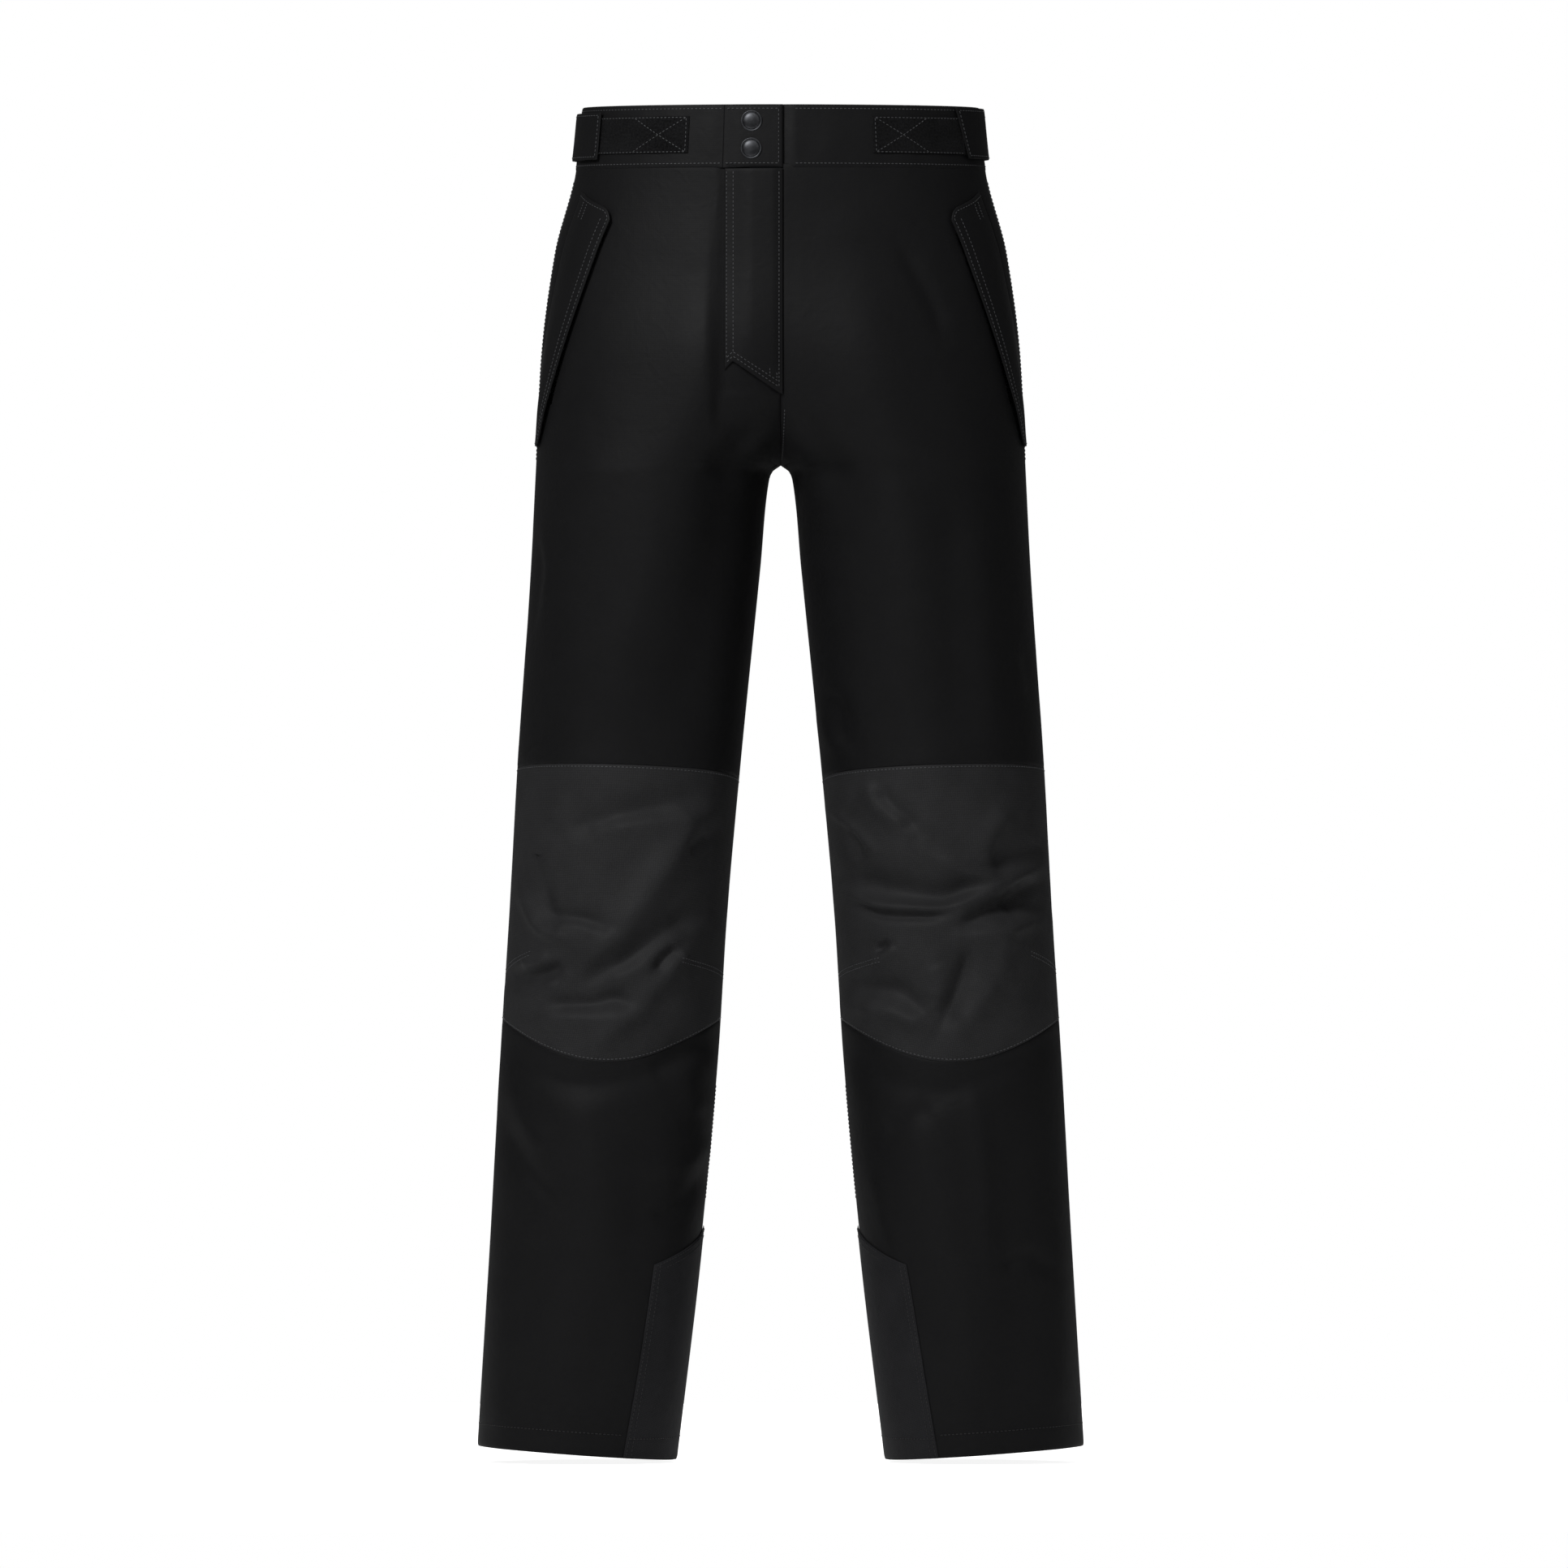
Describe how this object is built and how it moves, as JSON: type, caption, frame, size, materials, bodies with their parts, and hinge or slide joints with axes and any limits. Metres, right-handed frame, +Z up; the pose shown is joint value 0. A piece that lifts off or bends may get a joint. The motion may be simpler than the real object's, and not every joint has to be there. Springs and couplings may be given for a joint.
{
  "type": "ski pants",
  "caption": "Insulated shell ski pants with a snapped fly, flapped hand pockets, hook-and-loop waist tabs, articulated knee panels, inner-ankle kick patches and snow gaiters",
  "frame": {"origin": "centre of the waist opening, in the plane of the waistband's top edge", "axes": "+Z up, the front faces -Y, the wearer's left is +X; the legs hang down along -Z"},
  "size_m": [0.4784, 0.2397, 1.0654],
  "materials": {
    "shell": "matte woven laminate, black",
    "reinforcement": "heavier dark grey canvas",
    "lining": "smooth dark lining cloth",
    "loop": "fuzzy loop pile",
    "hook": "stiff moulded hooks",
    "metal": "gunmetal, satin",
    "tape": "tight woven zip tape",
    "plastic": "moulded, semi-gloss"
  },
  "bodies": {
    "hips": {"waistband_front_right": "shell", "waistband_front_left": "shell", "waistband_back": "shell", "upper_snap_stud": "metal", "lower_snap_stud": "metal", "fly_zip_tape": "tape", "fly_zip_chain": "plastic", "fly_guard": "lining", "right_front_hip": "shell", "right_front_groin": "shell", "right_back_hip": "shell", "right_back_groin": "shell", "right_pocket_zip": "tape", "right_pocket_bag": "lining", "right_loop_pad": "loop", "right_adjuster_strap": "shell", "left_front_hip": "shell", "left_front_groin": "shell", "left_back_hip": "shell", "left_back_groin": "shell", "left_pocket_zip": "tape", "left_pocket_bag": "lining", "left_loop_pad": "loop", "left_adjuster_strap": "shell"},
    "fly_flap": {"upper_snap_cap": "metal", "lower_snap_cap": "metal", "waistband_tab": "shell", "fly_flap": "shell"},
    "fly_slider": {"fly_zip_slider": "plastic"},
    "fly_pull": {"fly_zip_pull": "plastic"},
    "right_thigh": {"right_front_thigh": "shell", "right_knee_panel": "reinforcement", "right_back_thigh": "shell", "right_back_knee": "shell"},
    "right_shin": {"right_front_shin": "shell", "right_back_shin": "shell", "right_kick_patch": "reinforcement", "right_snow_gaiter": "lining"},
    "right_pocket_flap": {"right_pocket_flap": "shell"},
    "right_pocket_slider": {"right_pocket_slider": "plastic"},
    "right_pocket_pull": {"right_pocket_pull": "plastic"},
    "right_adjuster_tab": {"right_hook_patch": "hook", "right_adjuster_tab": "shell"},
    "left_thigh": {"left_front_thigh": "shell", "left_knee_panel": "reinforcement", "left_back_thigh": "shell", "left_back_knee": "shell"},
    "left_shin": {"left_front_shin": "shell", "left_back_shin": "shell", "left_kick_patch": "reinforcement", "left_snow_gaiter": "lining"},
    "left_pocket_flap": {"left_pocket_flap": "shell"},
    "left_pocket_slider": {"left_pocket_slider": "plastic"},
    "left_pocket_pull": {"left_pocket_pull": "plastic"},
    "left_adjuster_tab": {"left_hook_patch": "hook", "left_adjuster_tab": "shell"}
  },
  "joints": [
    {"name": "right_leg_swing", "type": "hinge", "parent": "hips", "child": "right_thigh", "pos_m": [0, 0, -0.36], "axis": [-1, 0, 0], "range_deg": [-20, 60], "deforming": ["right_front_groin", "right_back_groin"]},
    {"name": "right_knee_bend", "type": "hinge", "parent": "right_thigh", "child": "right_shin", "pos_m": [0, 0, -0.6335], "axis": [1, 0, 0], "range_deg": [0, 105], "deforming": ["right_knee_panel", "right_back_knee"]},
    {"name": "left_leg_swing", "type": "hinge", "parent": "hips", "child": "left_thigh", "pos_m": [0, 0, -0.36], "axis": [-1, 0, 0], "range_deg": [-20, 60], "deforming": ["left_front_groin", "left_back_groin"]},
    {"name": "left_knee_bend", "type": "hinge", "parent": "left_thigh", "child": "left_shin", "pos_m": [0, 0, -0.6335], "axis": [1, 0, 0], "range_deg": [0, 105], "deforming": ["left_knee_panel", "left_back_knee"]},
    {"name": "fly_flap_lift", "type": "hinge", "parent": "hips", "child": "fly_flap", "pos_m": [-0.0443, -0.0904, 0], "axis": [0, -0.0947, -0.9955], "range_deg": [0, 75]},
    {"name": "fly_zip_run", "type": "slide", "parent": "hips", "child": "fly_slider", "axis": [0, -0.0783, -0.9969], "range_m": [0, 0.105]},
    {"name": "fly_pull_swing", "type": "hinge", "parent": "fly_slider", "child": "fly_pull", "pos_m": [-0.012, -0.09465, -0.06333], "axis": [0, -0.9969, 0.0783], "range_deg": [-15, 15]},
    {"name": "right_pocket_flap_lift", "type": "hinge", "parent": "hips", "child": "right_pocket_flap", "pos_m": [-0.1652, -0.0346, -0.067], "axis": [-0.1771, 0.1288, -0.9757], "range_deg": [0, 55]},
    {"name": "right_pocket_zip_run", "type": "hinge", "parent": "hips", "child": "right_pocket_slider", "pos_m": [0.22646, 0.29199, -0.23066], "axis": [0.5995, -0.744, -0.2951], "range_deg": [0, 12.2]},
    {"name": "right_pocket_pull_swing", "type": "hinge", "parent": "right_pocket_slider", "child": "right_pocket_pull", "pos_m": [-0.14593, -0.05532, -0.11165], "axis": [-0.7121, -0.6642, 0.2276], "range_deg": [-6, 6]},
    {"name": "right_adjuster_peel", "type": "hinge", "parent": "hips", "child": "right_adjuster_tab", "pos_m": [-0.1603, -0.0087, -0.005], "axis": [-0.1035, -0.0067, -0.9946], "range_deg": [0, 70]},
    {"name": "left_pocket_flap_lift", "type": "hinge", "parent": "hips", "child": "left_pocket_flap", "pos_m": [0.1652, -0.0346, -0.067], "axis": [-0.1771, -0.1288, 0.9757], "range_deg": [0, 55]},
    {"name": "left_pocket_zip_run", "type": "hinge", "parent": "hips", "child": "left_pocket_slider", "pos_m": [-0.22646, 0.29199, -0.23066], "axis": [0.5995, 0.744, 0.2951], "range_deg": [0, 12.2]},
    {"name": "left_pocket_pull_swing", "type": "hinge", "parent": "left_pocket_slider", "child": "left_pocket_pull", "pos_m": [0.14593, -0.05532, -0.11165], "axis": [0.7121, -0.6642, 0.2276], "range_deg": [-6, 6]},
    {"name": "left_adjuster_peel", "type": "hinge", "parent": "hips", "child": "left_adjuster_tab", "pos_m": [0.1603, -0.0087, -0.005], "axis": [-0.1035, 0.0067, 0.9946], "range_deg": [0, 70]}
  ]
}
